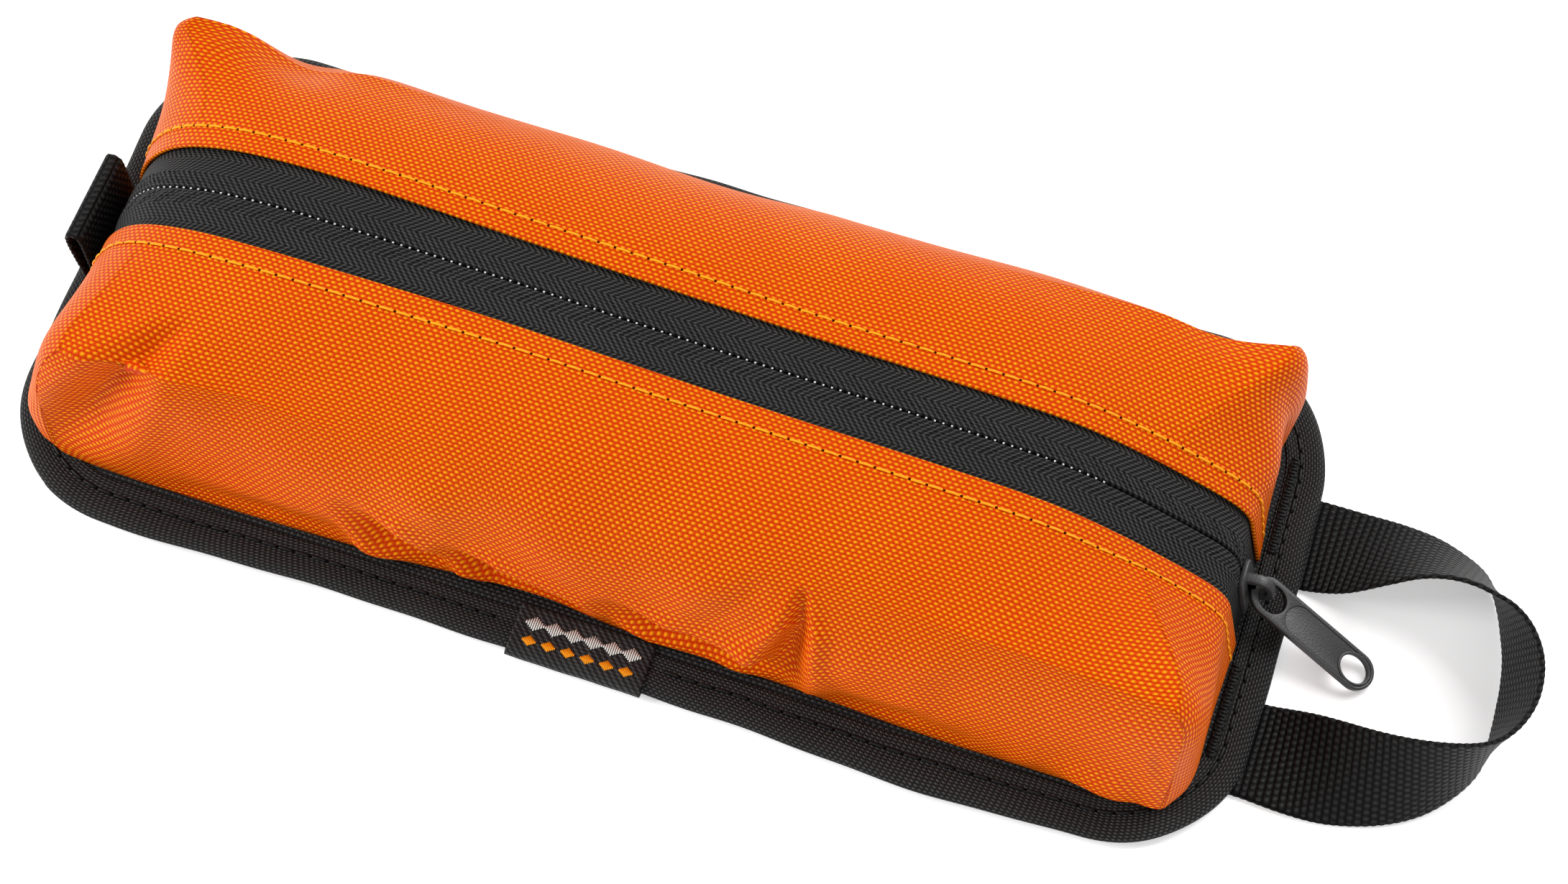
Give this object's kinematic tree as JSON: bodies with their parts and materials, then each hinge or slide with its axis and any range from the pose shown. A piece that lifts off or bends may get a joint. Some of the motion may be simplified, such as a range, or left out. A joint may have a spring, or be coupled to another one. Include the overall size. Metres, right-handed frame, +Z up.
{
  "type": "sandbag",
  "caption": "Sand-filled fabric weight bag with a zip over the top, a flat base with a bound flange, a banked webbing carry loop and an end tab.",
  "frame": {"origin": "on the floor under the middle of the base pad", "axes": "+X along the bag toward the carry loop, +Y toward the back, +Z up"},
  "size_m": [0.3748, 0.1407, 0.0515],
  "materials": {
    "orange_fabric": "coarse plain weave, coated back",
    "black_fabric": "coarse plain weave",
    "binding_tape": "fine plain weave tape",
    "zip_tape": "herringbone woven tape",
    "coil_plastic": "satin",
    "slider_metal": "matt black coating",
    "webbing": "ribbed webbing",
    "orange_thread": "bonded thread",
    "black_thread": "bonded thread",
    "label_weave": "fine twill label",
    "liner_film": "welded film",
    "sand": "loose dry grains"
  },
  "bodies": {
    "bag": {"front_panel": "orange_fabric", "back_panel": "orange_fabric", "base_panel": "black_fabric", "edge_binding": "binding_tape", "zip_tape_front": "zip_tape", "zip_tape_back": "zip_tape", "zip_coil_front": "coil_plastic", "zip_coil_back": "coil_plastic", "zip_stop_handle_end": "slider_metal", "zip_stop_tab_end": "slider_metal", "handle_tail_back": "webbing", "handle_tail_front": "webbing", "woven_label": "label_weave", "topstitch_front": "orange_thread", "topstitch_back": "orange_thread", "binding_stitch_1": "black_thread", "binding_stitch_2": "black_thread", "handle_bartack_back": "black_thread", "handle_bartack_front": "black_thread", "liner_lower": "liner_film", "liner_upper": "liner_film", "sand_fill": "sand"},
    "slider": {"slider_body": "slider_metal"},
    "pull": {"pull_tab": "slider_metal"},
    "carry_loop": {"handle_strap": "webbing"},
    "tab": {"end_tab_loop": "webbing"}
  },
  "joints": [
    {"name": "slider_travel", "type": "slide", "parent": "bag", "child": "slider", "axis": [-0.2588, 0, 0.9659], "range_m": [0, 0.004]},
    {"name": "pull_tab_swing", "type": "hinge", "parent": "slider", "child": "pull", "pos_m": [0.14734, 0, 0.01396], "axis": [-0.2756, -0.9613, 0], "range_deg": [0, 90]},
    {"name": "handle_swing", "type": "hinge", "parent": "bag", "child": "carry_loop", "pos_m": [0.1592, 0, 0.0008], "axis": [0, -1, 0], "range_deg": [0, 60]},
    {"name": "tab_fold", "type": "hinge", "parent": "bag", "child": "tab", "pos_m": [-0.1522, 0, 0.0047], "axis": [0, -1, 0], "range_deg": [0, 45], "stiffness_Nm_per_rad": 0.002}
  ]
}
